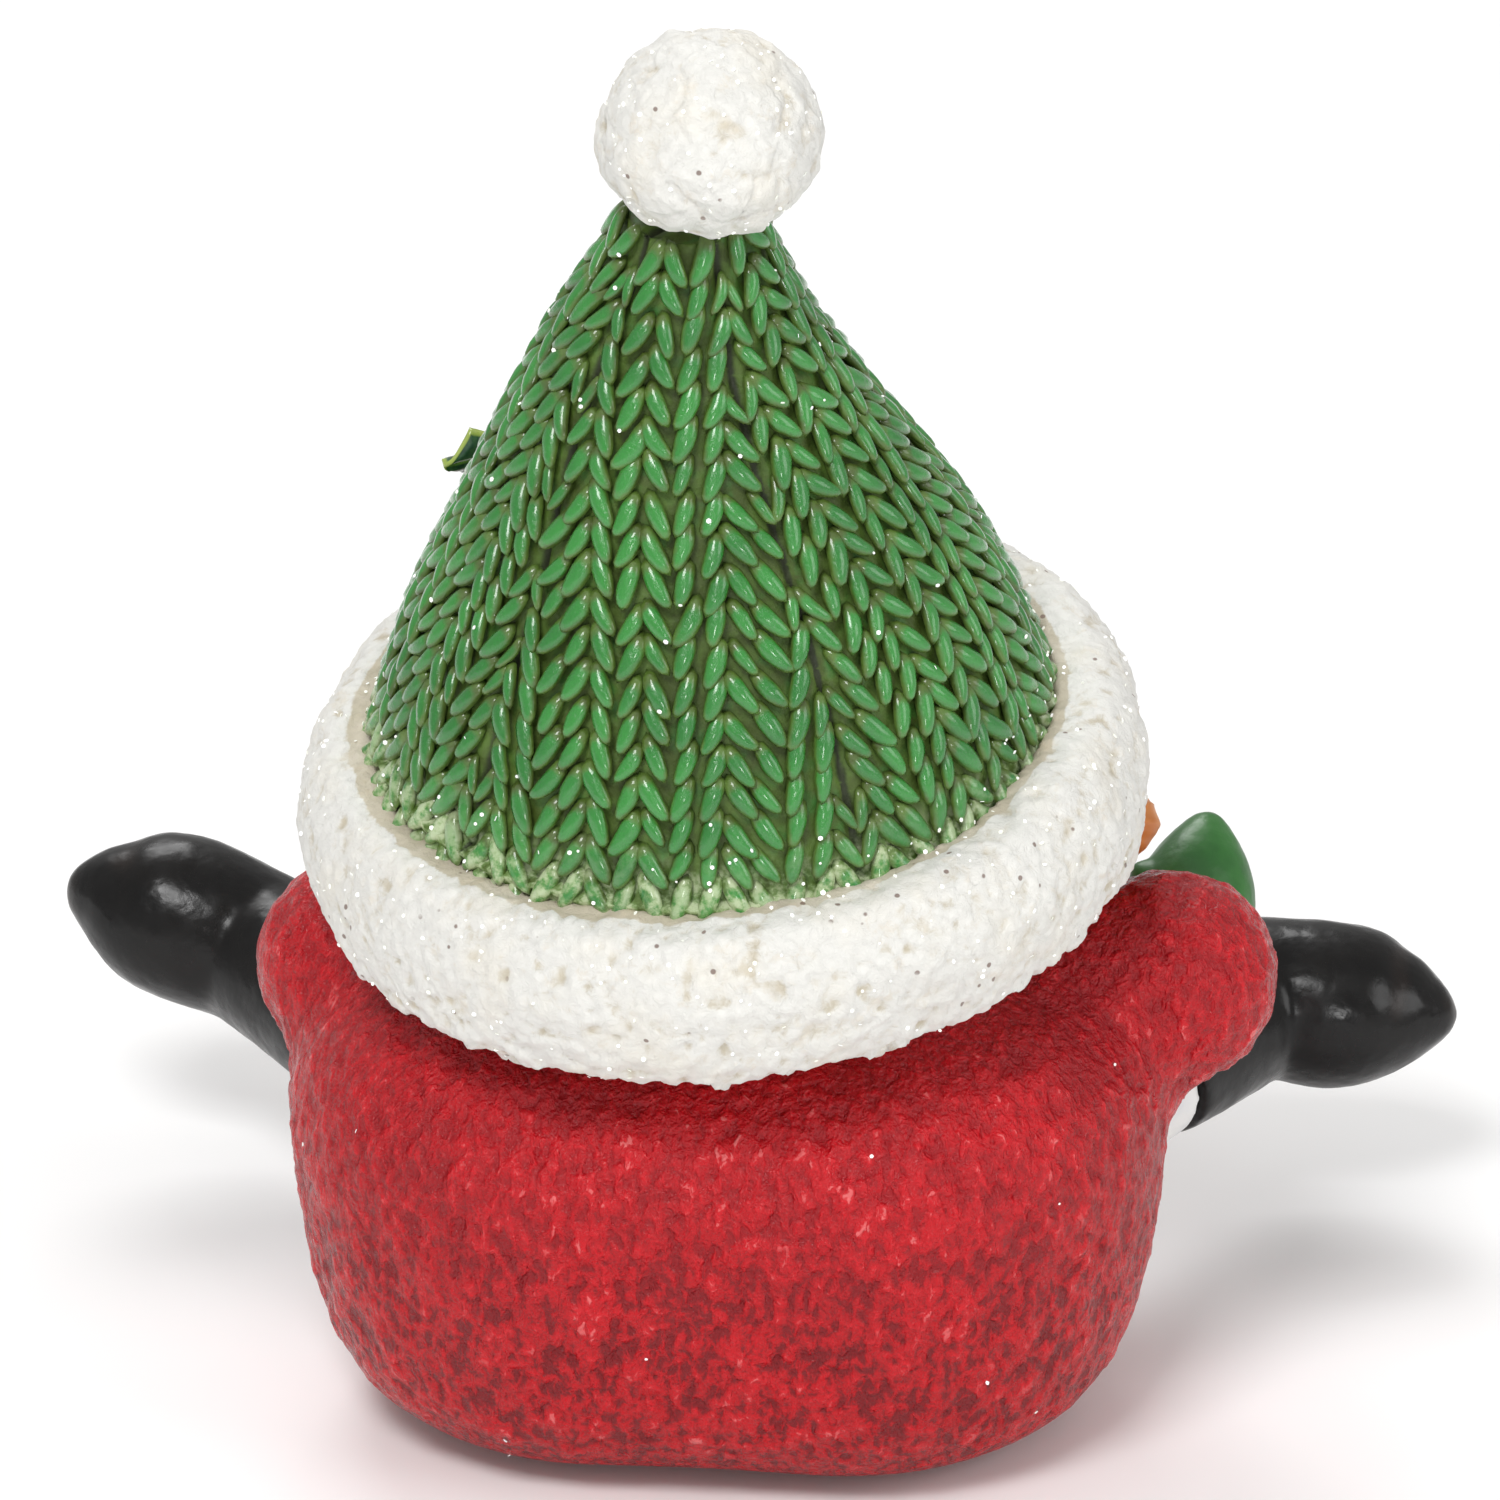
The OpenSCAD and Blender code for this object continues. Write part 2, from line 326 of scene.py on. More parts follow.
def finish_piece(piece, material, nodes=()):
    """Gives a piece its material and its place in the model."""
    mesh = piece.data
    mesh.materials.append(material)
    mesh.polygons.foreach_set("use_smooth", [True] * len(mesh.polygons))
    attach(piece, "root")
    if nodes:
        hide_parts(*nodes)
    return piece


# ---------------------------------------------------------------- node graphs


class Graph:
    """A material's node tree, written as short expressions."""

    def __init__(self, name):
        self.material = bpy.data.materials.new(name)
        self.material.use_nodes = True
        self.tree = self.material.node_tree
        self.shader = self.tree.nodes["Principled BSDF"]
        self.place = self.node("ShaderNodeTexCoord").outputs["Object"]

    def node(self, kind, **settings):
        n = self.tree.nodes.new(kind)
        for key, value in settings.items():
            setattr(n, key, value)
        return n

    def put(self, socket, value):
        if hasattr(value, "is_output"):
            self.tree.links.new(value, socket)
        elif hasattr(value, "__len__") and len(value) == 3:
            socket.default_value = (*value, 1) if socket.type == "RGBA" else value
        else:
            socket.default_value = value

    def attribute(self, name):
        return self.node("ShaderNodeAttribute", attribute_name=name).outputs["Fac"]

    def stretched(self, by):
        n = self.node("ShaderNodeMapping")
        self.put(n.inputs["Vector"], self.place)
        n.inputs["Scale"].default_value = by
        return n.outputs["Vector"]

    def noise(self, size, detail=3.0, place=None, rough=0.55, twist=0.0):
        n = self.node("ShaderNodeTexNoise")
        self.put(n.inputs["Vector"], place or self.place)
        n.inputs["Scale"].default_value = 1 / (size * MM)
        n.inputs["Detail"].default_value = detail
        n.inputs["Roughness"].default_value = rough
        n.inputs["Distortion"].default_value = twist
        return n.outputs["Fac"]

    def cells(self, size, feature="F1", output="Distance", place=None):
        n = self.node("ShaderNodeTexVoronoi", feature=feature)
        self.put(n.inputs["Vector"], place or self.place)
        n.inputs["Scale"].default_value = 1 / (size * MM)
        return n.outputs[output]

    def math(self, operation, a, b=0.0):
        n = self.node("ShaderNodeMath", operation=operation)
        self.put(n.inputs[0], a)
        self.put(n.inputs[1], b)
        return n.outputs[0]

    def span(self, value, low, high, to_low=0.0, to_high=1.0):
        n = self.node("ShaderNodeMapRange", interpolation_type="SMOOTHSTEP")
        for key, v in zip(("Value", "From Min", "From Max"), (value, low, high)):
            self.put(n.inputs[key], v)
        n.inputs["To Min"].default_value = to_low
        n.inputs["To Max"].default_value = to_high
        return n.outputs["Result"]

    def mix(self, share, a, b, blend="MIX"):
        n = self.node("ShaderNodeMix", data_type="RGBA", blend_type=blend)
        self.put(n.inputs["Factor"], share)
        self.put(n.inputs[6], a)
        self.put(n.inputs[7], b)
        return n.outputs[2]

    def bump(self, height, depth, strength=1.0, under=None):
        n = self.node("ShaderNodeBump")
        self.put(n.inputs["Height"], height)
        n.inputs["Distance"].default_value = depth * MM
        n.inputs["Strength"].default_value = strength
        if under is not None:
            self.put(n.inputs["Normal"], under)
        return n.outputs["Normal"]

    def shade(self, **values):
        for key, value in values.items():
            self.put(self.shader.inputs[key.replace("_", " ")], value)
        return self.material


def rgb(r, g, b):
    """A colour from 0-255 display values, as a linear one."""
    return tuple(
        (c / 12.92 if c <= 0.04045 else ((c + 0.055) / 1.055) ** 2.4)
        for c in (r / 255, g / 255, b / 255)
    )


# ---------------------------------------------------------------- materials


def coat_paint():
    g = Graph("coat_paint")
    relief = g.attribute("relief")
    broad = g.noise(15, 3.0)
    strokes = g.stretched((1, 1, 0.62))
    flakes = g.noise(1.05, 3.0, place=strokes, rough=0.6, twist=0.4)
    grain = g.noise(0.6, 3.0, rough=0.6)
    low = g.node("ShaderNodeSeparateXYZ")
    g.put(low.inputs[0], g.place)
    lower = g.span(low.outputs["Z"], 0.042, 0.016)
    ridge = g.math("ADD", g.math("MULTIPLY", relief, 0.22), g.math("MULTIPLY", flakes, 0.78))
    paint = g.mix(g.span(broad, 0.35, 0.7), rgb(164, 15, 25), rgb(188, 13, 26))
    paint = g.mix(g.math("MULTIPLY", lower, 0.5), paint, rgb(190, 12, 24))
    # The hollows darken towards the bottom: the lower coat is rougher, and the darker hollow
    # colour there is painted shade.
    deep = g.mix(lower, rgb(130, 15, 24), rgb(104, 15, 22))
    pit = g.span(ridge, 0.55, 0.42)
    share = g.math("MULTIPLY", pit, g.span(lower, 0.0, 1.0, 0.5, 0.8))
    colour = g.mix(share, paint, deep)
    colour = g.mix(g.span(ridge, 0.54, 0.66, 0, 0.6), colour, rgb(210, 24, 36))
    # Painted highlight: pink glints on the highest ridges, in patches.
    pink_glint = g.math("MULTIPLY", g.span(ridge, 0.65, 0.7), g.span(broad, 0.4, 0.6, 0.25, 0.7))
    colour = g.mix(pink_glint, colour, rgb(232, 120, 120))
    height = g.math("ADD", flakes, g.math("MULTIPLY", grain, 0.35))
    normal = g.bump(height, 0.9, 1.0)
    rough = g.span(g.noise(1.3, 3.0), 0.3, 0.75, 0.2, 0.36)
    return g.shade(Base_Color=colour, Roughness=rough, Normal=normal, Specular_IOR_Level=0.32)


def fur_paint():
    g = Graph("fur_paint")
    relief = g.attribute("relief")
    broad = g.noise(8, 3.0)
    mat = g.noise(1.1, 5.0, rough=0.72, twist=0.8)
    hollow = g.math("ADD", g.math("MULTIPLY", relief, 0.8), g.math("MULTIPLY", mat, 0.5))
    colour = g.mix(g.span(hollow, 0.4, 0.66), rgb(196, 187, 167), rgb(226, 225, 220))
    colour = g.mix(g.span(broad, 0.46, 0.72, 0, 0.45), colour, rgb(230, 224, 210))
    warm = g.math("MULTIPLY", g.span(g.noise(2.3, 3.0), 0.54, 0.68), g.span(mat, 0.4, 0.6))
    colour = g.mix(g.math("MULTIPLY", warm, 0.3), colour, rgb(206, 190, 162))
    spots = g.cells(2.5)
    dirt = g.math("MULTIPLY", g.span(spots, 0.13, 0.08), g.span(g.noise(7, 1.0), 0.46, 0.54))
    colour = g.mix(g.math("MULTIPLY", dirt, 0.8), colour, rgb(112, 84, 72))
    normal = g.bump(mat, 0.32, 0.9, g.bump(g.noise(2.4, 3.0), 0.3, 0.5))
    rough = g.span(g.noise(1.4, 2.0), 0.3, 0.7, 0.4, 0.7)
    return g.shade(Base_Color=colour, Roughness=rough, Normal=normal)


def knit_paint(name, varnish):
    g = Graph(name)
    relief = g.attribute("relief")
    frost = g.attribute("frost")
    mottle = g.noise(1.3, 4.0, rough=0.6)
    broad = g.noise(11, 2.0)
    share = g.span(g.math("ADD", relief, g.math("MULTIPLY", mottle, 0.5)), 0.5, 1.12)
    green = g.mix(g.span(broad, 0.35, 0.65), rgb(34, 114, 42), rgb(50, 136, 54))
    olive = g.mix(g.span(g.noise(2.2, 3.0), 0.35, 0.65), rgb(70, 88, 28), rgb(86, 114, 42))
    olive = g.mix(g.span(relief, 0.16, 0.0), olive, rgb(42, 50, 22))
    colour = g.mix(share, olive, green)
    pale = g.mix(g.span(mottle, 0.4, 0.65), rgb(126, 158, 92), rgb(198, 210, 170))
    colour = g.mix(g.math("MULTIPLY", frost, g.span(mottle, 0.34, 0.56)), colour, pale)
    proud = g.span(relief, 0.35, 0.8)
    rough = g.math("ADD", g.span(g.noise(1.8, 2.0), 0.3, 0.7, 0.16, 0.3),
                   g.span(proud, 1.0, 0.0, 0.0, 0.35))
    normal = g.bump(g.noise(0.8, 4.0, rough=0.65), 0.18, 0.8)
    return g.shade(Base_Color=colour, Roughness=rough, Normal=normal,
                   Coat_Weight=varnish, Coat_Roughness=0.08)


def boot_paint():
    g = Graph("boot_paint")
    broad = g.noise(6, 3.0)
    scuff = g.span(g.noise(1.6, 4.0, rough=0.7), 0.66, 0.78)
    colour = g.mix(g.span(broad, 0.35, 0.7), rgb(9, 8, 8), rgb(16, 14, 13))
    colour = g.mix(g.math("MULTIPLY", scuff, 0.25), colour, rgb(54, 44, 38))
    # Painted reflection: a brownish sheen at the toe tip, the crease and in patches.
    brown_sheen = g.math("ADD", g.attribute("relief"), g.math("MULTIPLY", broad, 0.2))
    colour = g.mix(g.span(brown_sheen, 0.85, 0.55, 0, 0.6), colour, rgb(48, 36, 30))
    rough = g.span(g.noise(4, 3.0), 0.3, 0.7, 0.2, 0.36)
    normal = g.bump(g.noise(0.8, 3.0), 0.05, 0.5, g.bump(broad, 0.4, 0.4))
    return g.shade(Base_Color=colour, Roughness=rough, Normal=normal,
                   Specular_IOR_Level=0.33)


def plain_paint(name, dark, light, edge, rough_low, rough_high, bump_size=0.8, bump=0.06):
    """Hand-painted resin: two shades, a wash in the hollows and a brushed surface."""
    g = Graph(name)
    relief = g.attribute("relief")
    broad = g.noise(5, 3.0)
    brush = g.noise(1.1, 4.0, rough=0.65)
    colour = g.mix(g.span(broad, 0.3, 0.7), dark, light)
    hollow = g.math("ADD", relief, g.math("MULTIPLY", brush, 0.35))
    colour = g.mix(g.span(hollow, 0.62, 0.32), colour, edge)
    rough = g.span(g.noise(2.4, 3.0), 0.3, 0.7, rough_low, rough_high)
    normal = g.bump(g.noise(bump_size, 3.0), bump, 0.7)
    return g.shade(Base_Color=colour, Roughness=rough, Normal=normal)


def leaf_paint():
    g = Graph("leaf_paint")
    rim = g.attribute("rim")
    relief = g.attribute("relief")
    mottle = g.noise(1.2, 3.0)
    face = g.mix(g.span(mottle, 0.35, 0.65), rgb(44, 74, 56), rgb(66, 104, 66))
    face = g.mix(g.span(relief, 0.7, 0.95), face, rgb(120, 158, 70))
    colour = g.mix(g.span(rim, 0.7, 0.95), face, rgb(160, 180, 84))
    normal = g.bump(g.noise(0.5, 3.0), 0.06, 0.7)
    rough = g.span(g.noise(1.8, 2.0), 0.3, 0.7, 0.16, 0.32)
    return g.shade(Base_Color=colour, Roughness=rough, Normal=normal, Coat_Weight=0.5,
                   Coat_Roughness=0.12)


def glitter_flake():
    g = Graph("glitter_flake")
    tint = g.mix(g.span(g.noise(3, 1.0), 0.4, 0.6), rgb(250, 250, 252), rgb(242, 244, 234))
    rough = g.span(g.noise(1.0, 1.0), 0.3, 0.7, 0.08, 0.25)
    # The flakes glow faintly: painted light that keeps them bright.
    return g.shade(Base_Color=tint, Roughness=rough, Emission_Color=rgb(246, 247, 243),
                   Emission_Strength=0.25)


def felt_cloth():
    g = Graph("felt_cloth")
    fibre = g.noise(0.5, 5.0, rough=0.75, twist=1.5)
    colour = g.mix(g.span(fibre, 0.3, 0.7), rgb(24, 52, 32), rgb(52, 92, 60))
    normal = g.bump(fibre, 0.25, 0.9)
    return g.shade(Base_Color=colour, Roughness=0.95, Normal=normal, Sheen_Weight=0.3)


# ---------------------------------------------------------------- sculpted relief
# Each function takes points and normals in millimetres and returns how far each point
# is pushed outwards, and its relief from 0, a hollow, to 1, a ridge.


def coat_relief(p, n):
    q = warped(p, 0.5, 2.1, (3, 4, 5)) * np.array([1.0, 1.0, 0.7])
    flakes = folds(q, 1.5, 11)
    brushed = rough_noise(q, 2.1, 21)
    fine = 0.35 * flakes + 0.8 * brushed
    under_hat = step(p[:, 2] + 0.2 * p[:, 1], 47.5, 52) * step(np.abs(p[:, 0]), 41, 36)
    calm = step(p[:, 2], 2.0, 7.0) * (1 - 0.8 * under_hat)
    patch = 0.75 + 0.25 * soft_noise(p, 9, 31)
    broad = rough_noise(p, 17, 41, 2)
    height = 0.62 * fine * calm * patch + 0.35 * broad
    return height - 0.15, np.clip(0.5 + 0.6 * fine * calm, 0, 1)


def fur_relief(p, n):
    q = warped(p, 0.6, 2.3, (66, 67, 68))
    lump, _, _ = cells(q, 3.2, 62)
    curl = folds(q, 1.7, 63)
    matted = rough_noise(q, 1.3, 64)
    broad = soft_noise(p, 8, 65)
    height = 0.15 * (1 - lump) + 0.14 * curl + 0.36 * matted + 0.55 * broad
    return height - 0.2, np.clip(0.52 + 0.14 * curl + 0.42 * matted, 0, 1)


def brim_relief(p, n):
    height, relief = fur_relief(p, n)
    up = brim_axes()[2]
    upper = np.clip(n @ up, 0, 1)
    lower = np.clip(-(n @ up), 0, 1)
    near, far, mark = cells(p, 2.3, 71)
    ragged = lower * (1.3 * mark - 0.5) * step(far - near, 0, 0.25)
    local = (p - HAT_BASE) @ CONE.axes.T
    gap = np.hypot(local[:, 0], local[:, 1]) - np.interp(local[:, 2], CONE.t, CONE.r)
    joint = upper * step(gap, 1.0, 0.3)
    return height + upper + ragged, relief - 0.8 * joint


def pompom_relief(p, n):
    q = warped(p, 0.8, 2.5, (81, 86, 87))
    near, _, mark = cells(q, 4.0, 82)
    curl = folds(q, 1.8, 83)
    clump = rough_noise(q, 1.9, 84)
    height = 0.8 * (1 - near) + 0.35 * mark + 0.14 * curl + 0.4 * clump
    flat = 0.8 * step(-(n @ CONE.axes[2]), 0.1, 0.8)
    relief = 0.55 + 0.2 * (0.5 - near) + 0.1 * curl + 0.35 * clump
    return 0.85 * height - 0.65 - flat, np.clip(relief, 0, 1)


def soft_relief(p, n):
    broad = soft_noise(p, 7, 91)
    return 0.22 * broad + 0.04 * rough_noise(p, 1.2, 92), np.full(len(p), 0.8)


def mitten_relief(p, n):
    """A mitten that tapers towards its tip."""
    along = p @ np.array([0, -0.707, 0.707])
    along = (along - along.min()) / (along.max() - along.min())
    height, relief = soft_relief(p, n)
    return height - 1.3 * step(along, 0.45, 0.95), relief


def boot_relief(p, n):
    """Lumpy leather with a crease behind the toe and a slightly pointed tip."""
    toe = p[np.abs(p[:, 0]).argmax()]
    reach = np.linalg.norm(p - toe, axis=1)
    crease = np.exp(-(((reach - 8.0) / 1.7) ** 2)) * step(n[:, 2], -0.3, 0.5)
    tip = np.exp(-((reach / 3.2) ** 2))
    height = 0.28 * soft_noise(p, 7, 95) + 0.06 * rough_noise(p, 1.6, 96)
    # The relief value marks a painted reflection: a brownish sheen at the toe tip and the
    # crease.
    brown_sheen_mask = np.clip(0.85 - 0.15 * crease - 0.3 * tip + 0.15 * soft_noise(p, 3, 97), 0, 1)
    return height - 0.3 * crease + 0.8 * tip, brown_sheen_mask


def skin_relief(p, n):
    return 0.18 * soft_noise(p, 6, 93), np.clip(0.75 + 0.25 * soft_noise(p, 3, 94), 0, 1)


def strands(along, across, depth, seed):
    """Locks of hair: ridges that run along one direction and wander across it."""
    wander = 1.3 * np.sin(along / 4.2 + 2.5 * np.sin(across / 7.0))
    q = np.stack([across + wander, along / 9.0, depth / 9.0], 1)
    return folds(q, 3.1, seed), folds(q, 1.15, seed + 1)


def beard_relief(p, n):
    around = 24 * np.arctan2(p[:, 0], -(p[:, 1] + 4))
    locks, hairs = strands(p[:, 2] + 0.02 * around**2, around, p[:, 1], 101)
    height = 0.85 * locks + 0.35 * hairs
    return height - 0.5, np.clip(0.5 + 0.3 * locks + 0.25 * hairs, 0, 1)


def whisker_relief(p, n):
    locks, hairs = strands(np.abs(p[:, 0]), p[:, 2] - 0.5 * p[:, 1], p[:, 1], 111)
    height = 0.45 * locks + 0.25 * hairs
    return height - 0.15, np.clip(0.58 + 0.22 * locks + 0.2 * hairs, 0, 1)


def felt_relief(p, n):
    return 0.03 * rough_noise(p, 1.0, 121), np.full(len(p), 0.8)


def sculpt(piece, relief):
    mesh = piece.data
    p, n = coordinates(mesh), normals(mesh)
    height, value = relief(p, n)
    put_coordinates(mesh, p + n * height[:, None])
    put_value(mesh, "relief", value)


# ---------------------------------------------------------------- the hat's frames


def turned(about, degrees):
    a = math.radians(degrees)
    c, s = math.cos(a), math.sin(a)
    if about == "x":
        return np.array([[1, 0, 0], [0, c, -s], [0, s, c]])
    return np.array([[c, 0, s], [0, 1, 0], [-s, 0, c]])


def brim_axes():
    """The brim's own X, Y and Z directions, as rows."""
    return (turned("y", BRIM_ROLL) @ turned("x", -HAT_TILT)).T


def cone_bow(t, top):
    """How far the knitted cone bends to the figure's left at a height above the brim."""
    return CONE_BOW * step(t / top, 0.3, 0.7) * step(t / top, 1.0, 0.75)


class ConeSurface:
    """The knitted cone as a surface: a bearing around it and a distance up its side.
    The rows of axes are its own X, Y and Z directions."""

    def __init__(self):
        upright = turned("y", BRIM_ROLL) @ turned("x", -HAT_TILT)
        self.axes = (upright @ turned("y", CONE_ROLL - BRIM_ROLL)).T
        p = coordinates(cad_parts["hat_cone"].data)
        local = (p - HAT_BASE) @ self.axes.T
        radius, t = np.hypot(local[:, 0], local[:, 1]), local[:, 2]
        marks = np.linspace(0.3, t.max(), 40)
        reach = [radius[np.abs(t - m) < 1.6].max(initial=0.0) for m in marks]
        solid = [(m, r) for m, r in zip(marks, reach) if r > 0]
        fit = np.polyfit([m for m, _ in solid], [r for _, r in solid], 6)
        self.t = np.linspace(-3, t.max(), 240)
        self.r = np.polyval(fit, self.t)
        run = np.hypot(np.diff(self.t), np.diff(self.r))
        self.s = np.concatenate([[0], np.cumsum(run)])
        self.length = self.s[-1]
        self.slope_r = np.gradient(self.r, self.s)
        self.slope_t = np.gradient(self.t, self.s)

    def radius(self, s):
        return np.interp(s, self.s, self.r)

    def at(self, bearing, s):
        """Points, and the outward, rightward and upward directions there."""
        r, t = np.interp(s, self.s, self.r), np.interp(s, self.s, self.t)
        dr, dt = np.interp(s, self.s, self.slope_r), np.interp(s, self.s, self.slope_t)
        c, w = np.cos(bearing), np.sin(bearing)
        zero = np.zeros_like(c)
        up = np.stack([dr * c, dr * w, dt], -1)
        right = np.stack([-w, c, zero], -1)
        out = np.stack([dt * c, dt * w, -dr], -1)
        point = np.stack([r * c, r * w, t], -1)
        world = [v / np.linalg.norm(v, axis=-1, keepdims=True) @ self.axes
                 for v in (out, right, up)]
        point = point @ self.axes + HAT_BASE
        point[..., 0] += cone_bow(t, self.t[-1])
        return point, *world


# ---------------------------------------------------------------- the knitting

GORES = 5
FIRST_GORE = math.radians(84.5)
LEANS = "/\\\\//\\/\\//\\\\//\\"
COLUMN = 2.75
ROW = 3.35
GRAIN_LENGTH = 5.2
GRAIN_WIDTH = 1.9
RIGHT_LEAN = math.radians(22)
LEFT_LEAN = math.radians(31)
SURFACE_SINK = 0.95
RINGS = 10
SIDES = 10
FIRST_ROW = 0.35
NARROWEST = 0.42
STITCH_DENT = 0.12
TOP_MARGIN = 0.5
STITCH_SEED = 7


def knit_layout(rng):
    """Where each stitch leg lies: bearing, distance up the side, lean and size."""
    legs = []
    middle = (len(LEANS) - 1) / 2
    share = 2 * math.pi / GORES
    rows = int(CONE.length / ROW) + 1
    for gore in range(GORES):
        centre = FIRST_GORE + gore * share
        phases = rng.uniform(-0.32, 0.32, len(LEANS))
        for row in range(rows):
            for j, lean in enumerate(LEANS):
                s = (row + FIRST_ROW) * ROW + phases[j] * 1.2 + rng.normal(0, 0.22)
                if not 0 < s < CONE.length - TOP_MARGIN:
                    continue
                r = float(CONE.radius(s))
                half = share * r / COLUMN / 2
                reach = half - (abs(j - middle) - 0.5)
                if reach < NARROWEST:
                    continue
                width = min(reach, 1.0)
                side = np.sign(j - middle)
                offset = (j - middle) * COLUMN - side * (1 - width) * COLUMN / 2
                bearing = centre + (offset + rng.normal(0, 0.1)) / r
                turn = 1.0 if lean == "/" else -1.0
                size = rng.normal(1.0, 0.06) * (0.62 + 0.38 * width)
                legs.append((bearing, s, turn, size, width, rng.normal(0, 1), rng.random()))
    return np.array(legs)


def knit_stitches():
    legs = knit_layout(np.random.default_rng(STITCH_SEED))
    bearing, s0, turn, size, width, wobble, chance = legs.T
    u = np.linspace(0, 1, RINGS)
    girth = np.sin(math.pi * u**0.9) ** 0.42
    girth[0] = girth[-1] = 0
    lean = np.where(turn > 0, RIGHT_LEAN, LEFT_LEAN)
    lean = lean * (0.55 + 0.45 * width) + 0.08 * wobble
    along = (0.5 - u)[None, :] * (GRAIN_LENGTH * size)[:, None]
    bow = 0.28 * np.sin(math.pi * u)[None, :] * (turn * (0.6 + 0.5 * wobble))[:, None]
    up_by = along * np.cos(lean)[:, None]
    right_by = along * np.sin(lean)[:, None] * turn[:, None] + bow
    s = s0[:, None] + up_by
    r = CONE.radius(s0)[:, None]
    point, out, right, up = CONE.at(bearing[:, None] + right_by / r, s)
    lift = -0.5 - SURFACE_SINK + 1.0 * u**0.8
    lift = lift[None, :] + 0.1 * (chance[:, None] - 0.5)
    tilt = lean * turn
    side = right * np.cos(tilt)[:, None, None] - up * np.sin(tilt)[:, None, None]
    half = 0.5 * GRAIN_WIDTH * girth[None, :] * (size * (0.55 + 0.45 * width))[:, None]
    angle = np.linspace(0, 2 * math.pi, SIDES, endpoint=False)
    across = np.cos(angle)
    rise = np.where(np.sin(angle) > 0, np.sin(angle) * 0.86, np.sin(angle) * 0.5)
    centre = point + out * lift[..., None]
    ring = (centre[:, :, None, :]
            + side[:, :, None, :] * (half[:, :, None] * across)[..., None]
            + out[:, :, None, :] * (half[:, :, None] * rise)[..., None])
    count = len(legs)
    inner = ring[:, 1:-1].reshape(count, -1, 3)
    points = np.concatenate([centre[:, :1], inner, centre[:, -1:]], 1)
    flat = points.reshape(-1, 3)
    dents = np.stack([rough_noise(flat, 1.5, k) for k in (151, 152, 153)], 1)
    points = (flat + STITCH_DENT * dents).reshape(points.shape)
    height = np.concatenate([np.zeros((count, 1)),
                             (rise[None, None, :] * girth[None, 1:-1, None]
                              * np.ones((count, 1, 1))).reshape(count, -1),
                             np.zeros((count, 1))], 1)
    place = np.concatenate([[0], np.repeat(u[1:-1], SIDES), [1]])[None, :]
    relief = 0.22 + 0.85 * step(height, 0.2, 0.78) * step(place, 0.1, 0.42)
    relief = relief * (0.82 + 0.3 * chance[:, None]) * (0.55 + 0.45 * width[:, None])
    frost = step(s0, 9.0, 3.0)[:, None] * np.ones_like(height) * (0.55 + 0.45 * chance[:, None])
    per = points.shape[1]
    single = []
    last = per - 1
    for k in range(SIDES):
        nxt = (k + 1) % SIDES
        single.append((0, 1 + nxt, 1 + k))
        for ringno in range(RINGS - 3):
            a = 1 + ringno * SIDES
            single.append((a + k, a + nxt, a + SIDES + nxt, a + SIDES + k))
        a = 1 + (RINGS - 3) * SIDES
        single.append((a + k, a + nxt, last))
    faces = [tuple(i * per + v for v in face) for i in range(count) for face in single]
    return mesh_piece("hat_knit_stitches", points.reshape(-1, 3), faces,
                      [("relief", np.clip(relief, 0, 1).ravel()), ("frost", frost.ravel())])


def knit_ground():
    """The surface that the stitches stand on, a little inside the CAD cone."""
    piece = fine_copy("hat_cone", "hat_knit_ground", 0.6, 6)
    mesh = piece.data
    p, n = coordinates(mesh), normals(mesh)
    local = (p - HAT_BASE) @ CONE.axes.T
    outer = n @ CONE.axes[2] > 0.1
    bearing = np.arctan2(local[:, 1], local[:, 0]) - FIRST_GORE
    gore = 2 * math.pi / GORES
    seam = np.abs((bearing % gore) - gore / 2) * np.hypot(local[:, 0], local[:, 1])
    cleft = step(seam, 0.9, 0.2)
    sink = np.where(outer, -0.3 - SURFACE_SINK - 0.5 * cleft, 0.0)
    p[:, 0] += cone_bow(local[:, 2], CONE.t[-1])
    put_coordinates(mesh, p + n * (sink + 0.2 * rough_noise(p, 1.4, 131))[:, None])
    tone = 0.2 + 0.3 * step(rough_noise(p, 1.6, 132), -0.2, 0.6)
    put_value(mesh, "relief", tone * (1 - cleft))
    put_value(mesh, "frost", 0.8 * step(local[:, 2], 6.0, 1.0))
    return piece


# ---------------------------------------------------------------- the holly sprig


def flat_axes(node):
    """Centre, and the long, wide and thin directions of a flat CAD node, with its
    thin direction pointing away from the hat."""
    p = coordinates(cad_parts[node].data)
    centre = (p.min(0) + p.max(0)) / 2
    _, _, rows = np.linalg.svd(p - p.mean(0), full_matrices=False)
    long, wide, thin = rows
    hat = HAT_BASE + CONE.axes[2] * ((centre - HAT_BASE) @ CONE.axes[2])
    if thin @ (centre - hat) < 0:
        thin = -thin
    half = [np.abs((p - centre) @ axis).max() for axis in (long, wide)]
    return centre, long, wide, thin, half


